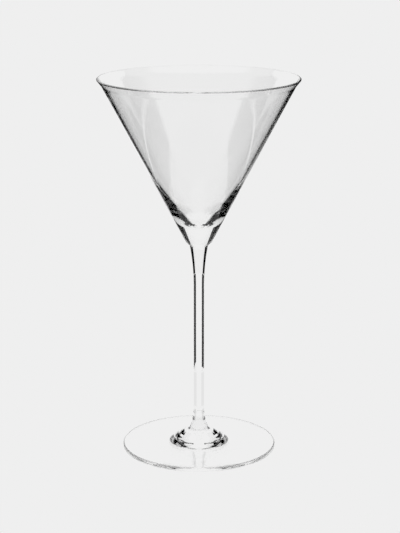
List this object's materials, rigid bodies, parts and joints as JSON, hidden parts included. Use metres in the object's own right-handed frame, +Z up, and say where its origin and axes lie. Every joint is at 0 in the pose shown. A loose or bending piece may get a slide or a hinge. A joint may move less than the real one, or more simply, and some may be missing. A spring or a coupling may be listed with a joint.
{
  "type": "martini glass",
  "caption": "Stemmed cocktail glass: a wide straight-sided conical bowl with a solid pointed base, on a slender drawn stem and a flat round foot.",
  "frame": {"origin": "middle of the resting face under the foot", "axes": "+Z up along the axis of revolution, from the foot to the rim; the glass is the same all round, so +X and +Y are free"},
  "size_m": [0.1, 0.1, 0.19],
  "materials": {
    "bowl_glass": "clear, fire-polished",
    "stem_glass": "clear, drawn",
    "foot_glass": "clear, fire-polished"
  },
  "bodies": {
    "root": {"bowl": "bowl_glass", "stem": "stem_glass", "foot": "foot_glass"}
  },
  "joints": []
}
